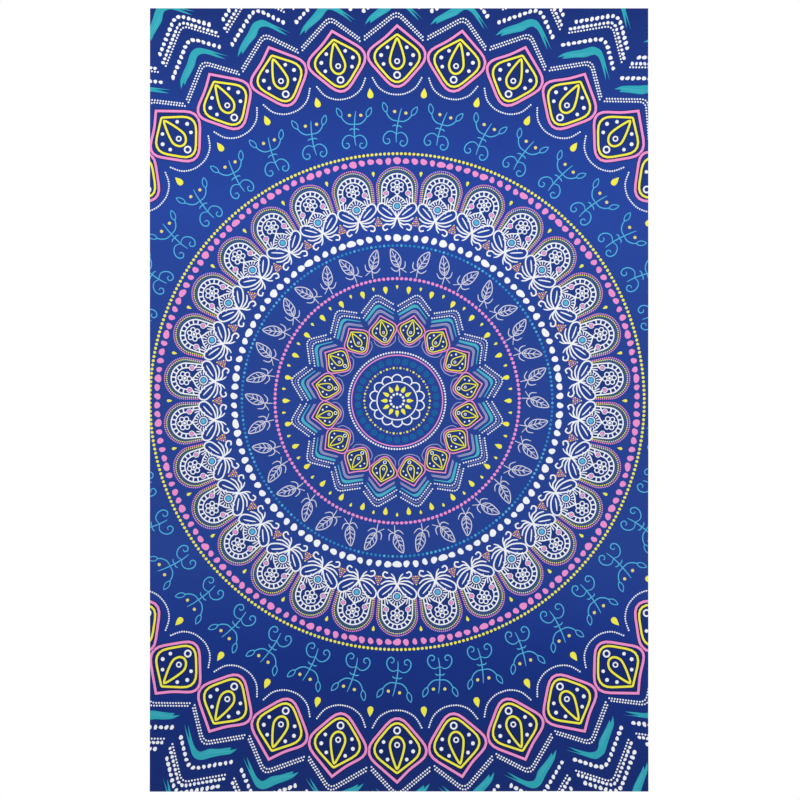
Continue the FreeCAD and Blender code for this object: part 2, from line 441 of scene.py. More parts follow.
def arch_path(half, crown, foot, steps, tuck=0.0):
    """The path of a round arch from foot to foot; tuck draws its feet in."""
    sweep = [(-half + tuck, foot)]
    for step in range(steps + 1):
        angle = math.pi * (1 - step / steps)
        sweep.append((half * math.cos(angle), crown - half + half * math.sin(angle)))
    sweep.append((half - tuck, foot))
    return smooth(sweep, 2)


def arch_window(art, spot):
    """An arched window in white line with a flower, two pink studs, a rayed teal stud and leaves."""
    pen = 3.6

    def both(points, width=pen, steps=4, taper=0.0):
        """A white curve on one side of the window and its mirror image on the other."""
        for side in (-1, 1):
            art.line("white", spot.curve(points, steps, side), width, taper=taper)

    def fan(middle, near, far, first, sweep, count, width):
        """White spokes round a point; first and sweep are shares of half a turn."""
        for index in range(count):
            angle = math.pi * (first + sweep * index / (count - 1))
            x, y = math.cos(angle), math.sin(angle)
            spoke = [(near * x, middle + near * y), (far[0] * x, middle + far[1] * y)]
            art.line("white", spot.path(spoke), width)

    def stud(across, out, rings):
        """Dots of falling size, one on another."""
        for ink, radius, sides in rings:
            art.dot(ink, spot(across, out), radius, sides)

    # The frame is two arches joined by bars, round a darker ground.
    art.fill("deep", spot.path(arch_path(43, 155, 62, 10)))
    art.line("white", spot.path(arch_path(43, 155, 70, 8)), pen)
    art.line("white", spot.path(arch_path(30, 142, 92, 8)), pen * 0.9)
    fan(112, 30, (43, 43), 0.04, 0.92, 9, pen)
    both([(30, 92), (43, 86)])

    # A six-petalled flower hangs in it.
    for petal in range(6):
        angle = math.pi / 3 * petal + math.pi / 6
        centre = (13 * math.cos(angle), 117 + 13 * math.sin(angle))
        art.line("white", circle(spot(*centre), 6.4, 9), pen * 0.75, closed=True)
    art.dot("white", spot(0, 117), 4.0, 8)
    both([(0, 97), (7, 90), (16, 84), (26, 72)], taper=0.3)
    art.line("white", spot.curve([(0, 98), (0, 88)], 4), pen)

    # Two pink studs stand at its sides.
    for side in (-1, 1):
        stud(side * 31, 100, (("white", 8.4, 10), ("deep", 6.2, 10), ("pink", 5.0, 10)))
        for post in ([(34, 90), (35, 66)], [(26, 86), (31, 68)]):
            art.line("white", spot.path(mirrored(post, side)), pen * 0.8)

    # A teal stud sits in a fan of rays.
    fan(64, 15, (26, 24), -0.08, 1.16, 11, pen * 0.7)
    stud(0, 64, (("white", 12.4, 12), ("deep", 9.6, 12), ("aqua", 7.2, 10)))

    # Below are two broad leaves, each with a slit, and curling tendrils.
    leaf = [(2, 30), (9, 46), (23, 62), (40, 72), (52, 68), (54, 54), (44, 42), (24, 31)]
    slit = [(14, 38), (27, 49), (42, 60)]
    for side in (-1, 1):
        art.line("white", spot.curve(leaf, 3, side, closed=True), pen * 1.1, closed=True)
        art.line("white", spot.curve(slit, 3, side), pen, taper=0.5)
    both([(2, 30), (7, 19), (18, 12), (31, 13), (40, 5), (35, -4), (26, 0)], pen * 1.1, 3)
    both([(6, 25), (18, 22), (33, 23), (46, 31)], pen * 1.1, 3, taper=0.4)
    both([(3, 27), (9, 10), (17, 1)], pen, 3, taper=0.5)
    for side in (-1, 1):
        art.line("white", spot.path([(side * 5, 49), (0, 35)]), pen * 0.7)


def arcade(art):
    """Arched windows side by side, with beads over them and berries between them."""
    for turn in around(ARCHES):
        spot = Spot(turn, ARCHES_AT)
        art.line("olive", spot.path(arch_path(48, 161.5, 76, 12, 2)), 3.0)
        art.dots("pink", spot.path(arch_path(57.5, 173.5, 74, 12, 4)), 5.8, 2.1, 6)
        art.dots("yellow", spot.path(arch_path(52.5, 167.5, 75, 12, 3)), 5.8, 2.0, 6)
        arch_window(art, spot)
    inks = ("yellow", "orange", "pink")
    for turn in around(ARCHES, 0.5):
        drop(art, "yellow", Spot(turn, ARCH_DROPS_AT), 15, 9, tip_out=False)
        for row in range(5):
            spot = Spot(turn, BERRIES_AT - 5.6 * row)
            for place in range(row + 1):
                art.dot(inks[(row + place) % 3], spot((place - row / 2) * 5.4), 2.3, 5)


def sprigs(art):
    """Light blue sprigs with leafed branches, curled fronds and two berries."""
    pen = 3.1
    stem = [(4, -44), (1, -26), (0, 0), (2, 34), (5, 54)]
    branch = [(1, 17), (16, 18), (29, 27), (37, 40)]
    bud = [(36, 37), (45, 43), (49, 52), (48, 63), (39, 57), (34, 48)]
    frond = [(0, -20), (12, -14), (24, -17), (33, -29), (33, -43), (24, -51), (15, -46), (17, -37),
             (24, -37)]
    leaflet = [(0, 2), (7, 4), (14, 0)]
    for turn in around(SPRIGS):
        spot = Spot(turn, SPRIGS_AT, lean=math.radians(-8))
        art.line("aqua", spot.curve(stem, 3), pen, taper=0.5)
        for side in (-1, 1):
            for points, taper in ((branch, 0.2), (frond, 0.4), (leaflet, 0.6)):
                art.line("aqua", spot.curve(points, 4, side), pen, taper=taper)
            art.line("aqua", spot.curve(bud, 2, side, closed=True), pen * 0.8, closed=True)
            art.blob("cream", spot(side * 16 + 3, 42), 4.6, rough=0.04, sides=9)


def shaken(points, reach):
    """The points, each moved a little, as a hand would draw them."""
    return [(x + RANDOM.uniform(-reach, reach), y + RANDOM.uniform(-reach, reach)) for x, y in points]


def brush_chevron(art, spot, apex, across=0):
    """A broad bent brush stroke that ends in two prongs one way and in two thin tails the other."""
    def placed(points):
        return spot.path([(across + x, apex + y) for x, y in points])

    outer = [(-91, -74), (-81, -54), (-62, -37), (-42, -21), (-20, -1), (-3, 4), (12, 0), (32, -18),
             (52, -39), (72, -60)]
    fork = [(54, -44), (36, -29), (48, -44), (61, -63)]
    inner = [(43, -46), (19, -23), (1, -16), (-10, -21), (-23, -36), (-46, -50), (-65, -62), (-76, -70)]
    notch = [(-75, -61)]
    outline = smooth(shaken(outer, 0.9), 3) + fork + smooth(shaken(inner, 0.9), 3) + notch
    art.fill("teal", placed(outline))
    for down, start, end in ((-7, -80, -8), (-13, -62, -20)):
        start += RANDOM.uniform(-6, 6)
        streak = [(start, down + start * 0.66), ((start + end) / 2, down + (start + end) * 0.34),
                  (end, down + end * 0.66)]
        art.line("teal_light", placed(smooth(streak, 4)), 1.9, taper=0.8)


def outer_chevrons(art, spot):
    """The stack outside a large diamond: beads, brushed strokes and rows of pebbles."""
    def legs(apex, left, right, cut=20):
        return spot.path(chevron(apex, left, right, cut, (0.79, 1.02)))

    for apex in (1096, 1086.5):
        art.dots("white", legs(apex, 91, 72), 7.8, 2.6)
    brush_chevron(art, spot, BRUSHES_AT[0])
    for apex, left, right in ((1170, 94, 62), (1244, 94, 68)):
        for point in spaced(legs(apex, left, right, 26), 15.3):
            lean = -spot.angle + RANDOM.uniform(0.9, 2.2)
            art.blob("white", point, RANDOM.uniform(4.6, 5.5), 1.22, lean)
    for point in spaced(legs(1222, 98, 74), 11.5):
        art.blob("white", point, RANDOM.uniform(3.9, 4.8), 1.15, RANDOM.uniform(0, 3), sides=9)
    art.dots("white", legs(1209, 96, 74), 8.6, 2.8)
    brush_chevron(art, spot, BRUSHES_AT[1], -21)


def outer_jewels(art):
    """Large diamonds, most of them off the sides of the cloth, with what goes round them."""
    bracket = [(-69, 907), (-52, 880), (-26, 864), (0, 860), (26, 864), (52, 880), (69, 907)]
    for turn in around(LARGE_JEWELS, 0.5):
        drop(art, "yellow", Spot(turn, BIG_DROPS_AT), 29, 19)
    for turn in around(LARGE_JEWELS):
        jewel(art, Spot(turn, LARGE_JEWELS_AT), 1.0, ((27, 27, 5.2), (45, 5, 5.6), (38, -20, 5.2)))
        origin = Spot(turn, 0)
        art.dots("white", origin.curve(bracket, 4), 6.6, 2.45)
        outer_chevrons(art, origin)


def artwork():
    """The whole print, from the middle outwards. It sits a little off the middle of the cloth."""
    art = Artwork(middle=(-5.6 * MM, -2.8 * MM))
    for motif in (heart_flower, seed_rings, inner_jewels, seed_sprinkle, leaf_sprays, pebble_rings,
                  arcade, sprigs, outer_jewels):
        motif(art)
    return art


# ------------ how it hangs
COLUMNS, ROWS = 48, 76
# The share by which the top hem is drawn in, and how many folds that starts across the cloth.
SLACK = 0.0012
FOLDS = 4.5
DRAW_IN_FRAMES = 8
HANG_FRAMES = 45
# Passes of averaging; the rows over which the cloth leaves the wall; the share of the ripples that
# the top hem has, and their depth.
SOFTENING = 8
HEM_HOLD = 9
HEM_RIPPLE = 0.12
MOST_RIPPLE = 9 * MM


def placed_object(name, data):
    """A new object in the scene that shows the data: a mesh, a lamp or a camera."""
    made = bpy.data.objects.new(name, data)
    bpy.context.scene.collection.objects.link(made)
    return made


CLOTH = {
    "quality": 8,
    "mass": 0.0003,
    "air_damping": 4.0,
    "tension_stiffness": 40,
    "compression_stiffness": 5,
    "shear_stiffness": 5,
    "bending_stiffness": 5,
    "tension_damping": 10,
    "compression_damping": 10,
    "shear_damping": 8,
}


def hung_depths():
    """How far the cloth stands forward at each point of a coarse grid, from a simulation.

    The cloth starts flat. Its top row is then drawn in a little, as a hem hung by hand is, and the
    rest settles under its own weight into shallow upright folds.
    """
    across = np.linspace(-WIDTH / 2, WIDTH / 2, COLUMNS + 1)
    down = np.linspace(0.0, -DROP, ROWS + 1)
    flat = [(x, 0.4 * MM * math.sin(9 * x + 2 * z), z) for z in down for x in across]
    corners = [row * (COLUMNS + 1) + column for row in range(ROWS) for column in range(COLUMNS)]
    faces = [(corner, corner + 1, corner + COLUMNS + 2, corner + COLUMNS + 1) for corner in corners]
    mesh = bpy.data.meshes.new("hanging_cloth")
    mesh.from_pydata(flat, [], faces)
    cloth = placed_object("hanging_cloth", mesh)
    held = cloth.vertex_groups.new(name="held")
    held.add(list(range(COLUMNS + 1)), 1.0, "REPLACE")
    cloth.shape_key_add(name="flat")
    hung = cloth.shape_key_add(name="hung")
    for index, (x, y, z) in enumerate(flat):
        wave = math.sin(2 * math.pi * FOLDS * x / WIDTH + 0.7) * (1 - (2 * x / WIDTH) ** 2)
        hung.data[index].co = (x * (1 - SLACK), 1.0 * MM * wave, z)
    hung.value = 0.0
    hung.keyframe_insert("value", frame=1)
    hung.value = 1.0
    hung.keyframe_insert("value", frame=DRAW_IN_FRAMES)

    modifier = cloth.modifiers.new("Cloth", "CLOTH")
    for setting, value in CLOTH.items():
        setattr(modifier.settings, setting, value)
    modifier.settings.vertex_group_mass = held.name
    modifier.collision_settings.use_collision = False
    modifier.point_cache.frame_start = 1
    modifier.point_cache.frame_end = HANG_FRAMES

    for step in range(1, HANG_FRAMES + 1):
        bpy.context.scene.frame_set(step)
    settled = cloth.evaluated_get(bpy.context.evaluated_depsgraph_get())
    points = np.empty((len(mesh.vertices), 3))
    settled.data.vertices.foreach_get("co", points.ravel())
    bpy.data.objects.remove(cloth)
    bpy.data.meshes.remove(mesh)
    bpy.context.scene.frame_set(1)
    return -points.reshape(ROWS + 1, COLUMNS + 1, 3)[:, :, 1]


def softened(values, passes):
    """The values with their small ripples averaged out along both ways of the grid."""
    for step in range(passes):
        for axis in (0, 1):
            wide = np.pad(values, [(1, 1) if way == axis else (0, 0) for way in (0, 1)], "edge")
            before, after = (wide[:-2], wide[2:]) if axis == 0 else (wide[:, :-2], wide[:, 2:])
            values = values / 2 + (before + after) / 4
    return values


class Drape:
    """The hanging cloth as a smooth surface over flat positions."""

    def __init__(self, depths):
        """Lays the cloth, at its own length each way, over how far it stands forward."""
        depths = softened(depths, SOFTENING)
        # The hem lies against the wall, and the cloth leaves it over the first rows.
        hold = np.minimum(np.arange(ROWS + 1) / HEM_HOLD, 1.0)[:, None]
        depths = (depths - depths.min()) * (HEM_RIPPLE + (1 - HEM_RIPPLE) * hold)
        depths *= MOST_RIPPLE / depths.max()

        def laid(step, axis):
            """How far along the grid each point lies, as every step is as long as the cloth's."""
            run = np.sqrt(step ** 2 - np.diff(depths, axis=axis) ** 2)
            return np.insert(np.cumsum(run, axis=axis), 0, 0.0, axis=axis)

        x = laid(WIDTH / COLUMNS, 1)
        x -= x[:, -1:] / 2
        z = -laid(DROP / ROWS, 0)
        grid = np.stack([x + (LEFT_X + RIGHT_X) / 2, FRONT_Y - depths, z + TOP_Z], axis=2)
        # One more row each side, so that the surface ends where the grid does.
        self.grid = np.pad(grid, ((1, 1), (1, 1), (0, 0)), "reflect", reflect_type="odd")

    def at(self, flat, depth=0.0):
        """Points and front-facing normals; flat is (n, 2) from the cloth's middle, depth goes back."""
        x = np.clip((flat[:, 0] / WIDTH + 0.5) * COLUMNS, 0, COLUMNS)
        y = np.clip((0.5 - flat[:, 1] / DROP) * ROWS, 0, ROWS)
        column = np.minimum(x.astype(int), COLUMNS - 1)
        row = np.minimum(y.astype(int), ROWS - 1)
        spread_x, slope_x = self.weights(x - column)
        spread_y, slope_y = self.weights(y - row)
        point = np.zeros((len(flat), 3))
        along = np.zeros((len(flat), 3))
        down = np.zeros((len(flat), 3))
        for j in range(4):
            for i in range(4):
                control = self.grid[row + j, column + i]
                point += control * (spread_y[j] * spread_x[i])[:, None]
                along += control * (spread_y[j] * slope_x[i])[:, None]
                down += control * (slope_y[j] * spread_x[i])[:, None]
        normal = np.cross(down, along)
        normal /= np.linalg.norm(normal, axis=1, keepdims=True)
        depth = np.broadcast_to(depth, len(flat))
        return point - normal * depth[:, None], normal

    @staticmethod
    def weights(t):
        """Cubic B-spline weights and slopes for the four grid points about t."""
        spread = ((1 - t) ** 3 / 6, (3 * t ** 3 - 6 * t ** 2 + 4) / 6,
                  (-3 * t ** 3 + 3 * t ** 2 + 3 * t + 1) / 6, t ** 3 / 6)
        slope = (-((1 - t) ** 2) / 2, (3 * t ** 2 - 4 * t) / 2,
                 (-3 * t ** 2 + 2 * t + 1) / 2, t ** 2 / 2)
        return spread, slope


# ------------ cutting the cloth
# Points nearer to each other than this are one point.
TOUCHING = 1e-6
# The pitch of the lines that the cloth is cut along besides the print.
PANEL_PITCH = 16 * MM
HEM_PITCH = 12 * MM


def top_shapes(places, shapes):
    """The number of the last shape that has each place inside it, from 1, or 0 where none has."""
    top = np.zeros(len(places), int)
    by_x = np.argsort(places[:, 0])
    sorted_x = places[by_x, 0]
    for number, (ink, outline) in enumerate(shapes, 1):
        ends = np.array(outline)
        starts = np.roll(ends, 1, axis=0)
        first, last = np.searchsorted(sorted_x, (ends[:, 0].min(), ends[:, 0].max()))
        near = by_x[first:last]
        level = places[near, 1]
        near = near[(level > ends[:, 1].min()) & (level < ends[:, 1].max())]
        x = places[near, :1]
        y = places[near, 1:]
        crosses = (starts[:, 1] > y) != (ends[:, 1] > y)
        way = (ends[:, 0] - starts[:, 0]) * (y - starts[:, 1])
        way -= (ends[:, 1] - starts[:, 1]) * (x - starts[:, 0])
        beyond = crosses & ((way > 0) == (ends[:, 1] > starts[:, 1]))
        top[near[np.count_nonzero(beyond, axis=1) % 2 == 1]] = number
    return top


def cut_along(shapes, low, high, lines_x, lines_y, extra=(), creases=()):
    """Cuts a flat rectangle into triangles along inked outlines, and along a grid.

    Returns the flat points, the triangles and each triangle's ink. Later shapes lie over earlier
    ones, and what no shape covers is ground. Creases are levels that no triangle crosses.
    """
    points = []
    edges = []
    outlines = [outline for ink, outline in shapes]
    for outline in [((low[0], low[1]), (high[0], low[1]), high, (low[0], high[1]))] + outlines:
        start = len(points)
        count = len(outline)
        points += outline
        edges += [(start + index, start + (index + 1) % count) for index in range(count)]
    for level in creases:
        edges.append((len(points), len(points) + 1))
        points += [(low[0], level), (high[0], level)]
    points += [(x, y) for x in lines_x for y in lines_y]
    points += extra
    result = delaunay_2d_cdt([Vector(point) for point in points], edges, [], 0, TOUCHING)
    flat = np.array([tuple(point) for point in result[0]])
    triangles = np.array(result[2])
    middles = flat[triangles].mean(axis=1)
    inside = ((middles > low) & (middles < high)).all(axis=1)
    triangles, middles = triangles[inside], middles[inside]
    inks = ["ground"] + [ink for ink, outline in shapes]
    names = [inks[number] for number in top_shapes(middles, shapes)]
    used, renumbered = np.unique(triangles, return_inverse=True)
    return flat[used], renumbered.reshape(-1, 3), names


def steps_between(low, high, pitch):
    """Evenly spaced values inside a span, neither end included."""
    count = max(round((high - low) / pitch), 1)
    return [low + (high - low) * index / count for index in range(1, count)]


def make_piece(name, points, faces, inks, names, normals=None):
    """A mesh piece, smooth shaded; names says which of the inks each face is in."""
    mesh = bpy.data.meshes.new(name)
    mesh.from_pydata(points.tolist(), [], faces)
    order = sorted(set(names))
    for ink in order:
        mesh.materials.append(inks[ink])
    mesh.polygons.foreach_set("material_index", [order.index(ink) for ink in names])
    mesh.polygons.foreach_set("use_smooth", [True] * len(faces))
    mesh.validate()
    if normals is not None:
        mesh.normals_split_custom_set_from_vertices(normals.tolist())
    return placed_object(name, mesh)


def close_up(piece):
    """Joins the points of a piece that coincide, and turns its faces outwards."""
    work = bmesh.new()
    work.from_mesh(piece.data)
    bmesh.ops.remove_doubles(work, verts=work.verts, dist=TOUCHING)
    bmesh.ops.recalc_face_normals(work, faces=work.faces)
    work.to_mesh(piece.data)
    work.free()


def border_loop(flat, low, high):
    """The numbers of the points on a rectangle's border, in order round it."""
    border = []
    for index, (x, y) in enumerate(flat):
        sides = ((y - low[1], x), (x - high[0], y), (y - high[1], -x), (x - low[0], -y))
        on = [(number, place, index) for number, (gap, place) in enumerate(sides) if abs(gap) < TOUCHING]
        border += on[:1]
    return [index for number, place, index in sorted(border)]


# The least area, or the least width of a line, that shows through to the back.
BOLD_AREA = 26 * MM * MM
BOLD_LINE = 3.3 * MM


def shows_through(outline):
    """True for a shape bold enough for its ink to show on the back."""
    xs, ys = zip(*outline)
    area = abs(sum(xs[i - 1] * ys[i] - xs[i] * ys[i - 1] for i in range(len(xs)))) / 2
    longest = max(math.hypot(xs[i] - xs[i - 1], ys[i] - ys[i - 1]) for i in range(len(xs)))
    return area > BOLD_AREA if len(xs) > 4 else area / longest > BOLD_LINE


def cloth_piece(art, drape, inks):
    """The printed panel: a thin closed sheet, its face cut along the print and its back paler."""
    low = (-WIDTH / 2 + EDGE_ROUND, -DROP / 2 + EDGE_ROUND)
    high = (-low[0], -low[1])
    lines_x = steps_between(low[0], high[0], PANEL_PITCH)
    lines_y = steps_between(low[1], high[1], PANEL_PITCH)
    front, front_faces, front_inks = cut_along(art.shapes, low, high, lines_x, lines_y)
    rim = border_loop(front, low, high)
    bold = [shape for shape in art.shapes if shows_through(shape[1])]
    back, back_faces, back_inks = cut_along(bold, low, high, lines_x, lines_y,
                                            [tuple(front[index]) for index in rim])
    back_rim = border_loop(back, low, high)

    front_points, front_normals = drape.at(front)
    back_points, back_normals = drape.at(back, CLOTH_THICK)
    points = np.concatenate([front_points, back_points])
    normals = np.concatenate([front_normals, -back_normals])
    shift = len(front)
    faces = front_faces.tolist() + (back_faces[:, ::-1] + shift).tolist()
    names = list(front_inks) + [BACK_OF.get(ink, "back") for ink in back_inks]
    for here in range(len(rim)):
        there = (here + 1) % len(rim)
        faces.append((rim[here], back_rim[here] + shift, back_rim[there] + shift, rim[there]))
        names.append("back")
    piece = make_piece("cloth", points, faces, inks, names, normals)
    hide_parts("cloth_panel")
    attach(piece, "root")
    return piece


# ------------ hems and seams
class Side:
    """One edge of the cloth: where it starts, which way it runs and which way is in."""

    def __init__(self, start, along, inward, length):
        self.start = np.array(start)
        self.along = np.array(along)
        self.inward = np.array(inward)
        self.length = length

    def flat(self, run, inset):
        """Flat positions, run along the edge and inset in from it."""
        return self.start + np.outer(run, self.along) + np.outer(inset, self.inward)


SIDE_LENGTH = DROP - 2 * HEM_WIDTH
SIDES = {
    "top": Side((-WIDTH / 2, DROP / 2), (1, 0), (0, -1), WIDTH),
    "bottom": Side((-WIDTH / 2, -DROP / 2), (1, 0), (0, 1), WIDTH),
    "left": Side((-WIDTH / 2, DROP / 2 - HEM_WIDTH), (0, -1), (1, 0), SIDE_LENGTH),
    "right": Side((WIDTH / 2, DROP / 2 - HEM_WIDTH), (0, -1), (-1, 0), SIDE_LENGTH),
}


# How far the raw edge, turned in, stops short of the fold.
RAW_EDGE_GAP = 1.0 * MM


def half_turn(centre, radius, first, steps, way):
    """Points round half a circle from the angle first; way is 1 anticlockwise and -1 clockwise."""
    angles = [first + way * math.pi * index / steps for index in range(steps + 1)]
    return [(centre[0] + radius * math.cos(angle), centre[1] + radius * math.sin(angle))
            for angle in angles]


def hem_section():
    """The section of a hem as (inset, depth) points: its printed side, and then its other side."""
    gap = (HEM_THICK - 3 * CLOTH_THICK) / 2
    turn = (2 * CLOTH_THICK + gap) / 2
    fold = (HEM_WIDTH - turn, HEM_THICK - turn)
    edge = (EDGE_ROUND, EDGE_ROUND)
    raw = EDGE_ROUND + RAW_EDGE_GAP
    quarter = math.pi / 2
    printed = half_turn(edge, EDGE_ROUND, -quarter, 8, -1)
    printed += half_turn(fold, turn, quarter, 8, -1)
    printed += [(raw, fold[1] - turn)]
    inside = [(raw, fold[1] - gap / 2)]
    inside += half_turn(fold, gap / 2, -quarter, 4, 1)
    inside += half_turn(edge, EDGE_ROUND - CLOTH_THICK, quarter, 6, 1)
    return printed, inside


def hem_piece(name, side, art, drape, inks):
    """A turned hem: the printed cloth goes on over the edge and shows on the back of the hem."""
    printed, inside = hem_section()
    section = printed + inside + printed[:1]
    reach = reach_along(section)
    raw_reach = reach[len(printed) - 1]

    shapes = []
    for ink, outline in art.shapes:
        moved = np.array(outline) - side.start
        run = moved @ side.along
        around_edge = EDGE_ROUND - moved @ side.inward
        if run.max() < 0 or run.min() > side.length:
            continue
        if around_edge.max() < 0 or around_edge.min() > raw_reach:
            continue
        shapes.append((ink, list(zip(run.tolist(), around_edge.tolist()))))
    lines_run = steps_between(0.0, side.length, HEM_PITCH)
    # The strip's two long edges meet, so it is cut again with the points of each on the other too.
    shared = []
    for cut in range(2):
        flat, faces, names = cut_along(shapes, (0.0, 0.0), (side.length, reach[-1]), lines_run,
                                       reach[1:-1], shared, reach[1:-1])
        shared = [(run, reach[-1] - place) for run, place in flat
                  if min(place, reach[-1] - place) < TOUCHING]
    inset = np.interp(flat[:, 1], reach, [x for x, y in section])
    depth = np.interp(flat[:, 1], reach, [y for x, y in section])
    middle = flat[faces][:, :, 1].mean(axis=1)
    names = ["back" if place > raw_reach else ink for place, ink in zip(middle, names)]
    points, normals = drape.at(side.flat(flat[:, 0], inset), depth)
    faces = faces.tolist()
    for run in (0.0, side.length):
        end = [index for index in range(len(flat)) if abs(flat[index, 0] - run) < TOUCHING]
        end.sort(key=lambda index: flat[index, 1])
        faces.append(tuple(end[:-1]))
        names.append("ground")
    piece = make_piece(name, points, faces, inks, names)
    close_up(piece)
    return piece


STITCH_PITCH = 3.0 * MM
STITCH_LENGTH = 2.65 * MM
THREAD_RADIUS = 0.17 * MM
# How high a stitch stands, how deep its ends go, and how far it strays from the seam's line.
STITCH_RISE = 0.07 * MM
STITCH_DIP = 0.3 * MM
STITCH_STRAY = 0.05 * MM


def stitches_piece(name, side, drape, on_front, material):
    """One row of stitches, each a short thread that dips into the cloth at both ends."""
    rings, corners = 5, 6
    count = int(side.length / STITCH_PITCH)
    flat, depths, faces = [], [], []
    for stitch in range(count):
        middle = (stitch + 0.5) * side.length / count
        inset = SEAM_INSET + RANDOM.uniform(-STITCH_STRAY, STITCH_STRAY)
        long = STITCH_LENGTH * RANDOM.uniform(0.94, 1.04)
        start = len(depths)
        for ring_number in range(rings):
            share = 2 * ring_number / (rings - 1) - 1
            radius = THREAD_RADIUS * (1 - 0.45 * abs(share) ** 3)
            sunk = STITCH_DIP * share ** 2 - STITCH_RISE
            for corner in range(corners):
                angle = 2 * math.pi * corner / corners
                flat.append((middle + share * long / 2, inset + radius * math.cos(angle)))
                depths.append(sunk + radius * math.sin(angle))
        for near in range(start, start + (rings - 1) * corners, corners):
            for corner in range(corners):
                beside = (corner + 1) % corners
                faces.append((near + corner, near + beside, near + corners + beside,
                              near + corners + corner))
        faces.append(tuple(range(start + corners - 1, start - 1, -1)))
        faces.append(tuple(range(start + (rings - 1) * corners, start + rings * corners)))
    flat = np.array(flat)
    depth = np.array(depths) if on_front else HEM_THICK - np.array(depths)
    points, normals = drape.at(side.flat(flat[:, 0], flat[:, 1]), depth)
    piece = make_piece(name, points, faces, {"thread": material}, ["thread"] * len(faces))
    close_up(piece)
    return piece


# ------------ materials
def colour(red, green, blue):
    """A colour given as it looks, 0 to 255, as the linear values that a shader takes."""
    parts = []
    for value in (red, green, blue):
        share = value / 255
        parts.append(share / 12.92 if share <= 0.04045 else ((share + 0.055) / 1.055) ** 2.4)
    return (*parts, 1.0)


INKS = {
    "ground": (39, 73, 165),
    "deep": (32, 61, 142),
    "night": (22, 36, 92),
    "white": (247, 250, 255),
    "pale": (216, 216, 231),
    "cream": (234, 222, 116),
    "yellow": (247, 241, 78),
    "orange": (236, 150, 80),
    "pink": (243, 150, 212),
    "lavender": (160, 160, 200),
    "olive": (66, 96, 92),
    "aqua": (84, 182, 226),
    "sea": (40, 140, 200),
    "teal": (48, 168, 184),
    "teal_light": (76, 180, 200),
    "deep_teal": (22, 104, 166),
    "dark_teal": (16, 72, 140),
    "back": (146, 160, 204),
    "back_deep": (128, 143, 194),
    "back_light": (194, 201, 224),
    "back_warm": (188, 194, 192),
    "back_teal": (138, 178, 208),
}
# The inks whose colour gets painted light and shade down the cloth.
PAINTED_LIGHT_INKS = ("ground", "deep", "night")
BACK_OF = {
    "deep": "back_deep",
    "night": "back_deep",
    "white": "back_light",
    "pale": "back_light",
    "cream": "back_warm",
    "yellow": "back_warm",
    "pink": "back_light",
    "teal": "back_teal",
    "teal_light": "back_teal",
    "aqua": "back_teal",
}
THREADS_PER_METRE = 2400
THREAD_COLOURS = (colour(20, 34, 100), colour(60, 84, 170))
FLOOR_COLOURS = (colour(226, 226, 224), colour(236, 236, 234))


class Nodes:
    """A material's node tree, with short ways to add and join nodes."""

    def __init__(self, name):
        self.material = bpy.data.materials.new(name)
        self.material.use_nodes = True
        self.tree = self.material.node_tree
        self.shader = self.tree.nodes["Principled BSDF"]

    def add(self, kind, settings=(), **inputs):
        """A node; settings are its properties, and inputs are set by name or linked."""
        node = self.tree.nodes.new("ShaderNode" + kind)
        for key, value in dict(settings).items():
            setattr(node, key, value)
        for key, value in inputs.items():
            self.feed(node, int(key[1:]) if key[0] == "_" else key, value)
        return node

    def feed(self, node, key, value):
        """Sets an input, or links it where the value is another node's output."""
        if isinstance(value, bpy.types.NodeSocket):
            self.tree.links.new(value, node.inputs[key])
        else:
            node.inputs[key].default_value = value

    def mix(self, share, first, second, blend="MIX"):
        """Two colours mixed by share, or multiplied where blend says so."""
        settings = {"data_type": "RGBA", "blend_type": blend}
        return self.add("Mix", settings, _0=share, _6=first, _7=second).outputs[2]

    def noise(self, place, scale, **inputs):
        """Even noise over the object."""
        return self.add("TexNoise", (), Vector=place, Scale=scale, **inputs).outputs[0]

    def waves(self, place, scale, way):
        """Bands across the object; way is the axis that they cross."""
        settings = {"bands_direction": way}
        return self.add("TexWave", settings, Vector=place, Scale=scale).outputs[1]

    def surface(self, height, strength, depth, looks):
        """Sets the shader's inputs by name, and its bumps from height."""
        bump = self.add("Bump", (), Strength=strength, Distance=depth, Height=height)
        for key, value in {**looks, "Normal": bump.outputs[0]}.items():
            self.feed(self.shader, key, value)

    def sums(self, operation, first, second):
        """One step of arithmetic on two values."""
        return self.add("Math", {"operation": operation}, _0=first, _1=second).outputs[0]

    def between(self, value, low, high):
        """Maps 0 to 1 onto low to high."""
        return self.add("MapRange", (), _0=value, _3=low, _4=high).outputs[0]


def thread_waves(nodes, place):
    """A plain weave: warp and weft that go over and under each other."""
    scale = THREADS_PER_METRE * math.pi / 20
    warp = nodes.waves(place, scale, "X")
    weft = nodes.waves(place, scale, "Z")
    over = nodes.sums("MULTIPLY", warp, weft)
    under = nodes.sums("MULTIPLY", nodes.sums("SUBTRACT", 1.0, warp),
                       nodes.sums("SUBTRACT", 1.0, weft))
    return nodes.sums("ADD", over, under)


def slubs(nodes, place):
    """Uneven threads: faint long streaks across and down the cloth."""
    streaks = []
    for stretch in ((900, 900, 26), (26, 900, 900)):
        longer = nodes.add("Mapping", (), Vector=place, Scale=stretch).outputs[0]
        streaks.append(nodes.noise(longer, 1.0, Detail=1.0))
    return nodes.sums("MULTIPLY", nodes.sums("ADD", streaks[0], streaks[1]), 0.5)


# Painted light and shade on the blue grounds: how bright the blue is made, from the foot of the cloth to
# its top, against the ink's own colour; brightest in the upper part, darker towards the foot and the
# top.
PAINTED_LIGHT_STOPS = ((0.0, 0.32, 0.55), (0.1, 0.33, 0.66), (0.17, 0.35, 0.78), (0.235, 0.66, 0.92),
             (0.30, 1.02, 0.98), (0.6, 1.08, 1.0), (0.74, 1.1, 1.18), (0.83, 0.84, 1.06),
             (0.91, 0.68, 0.84), (1.0, 0.42, 0.62))


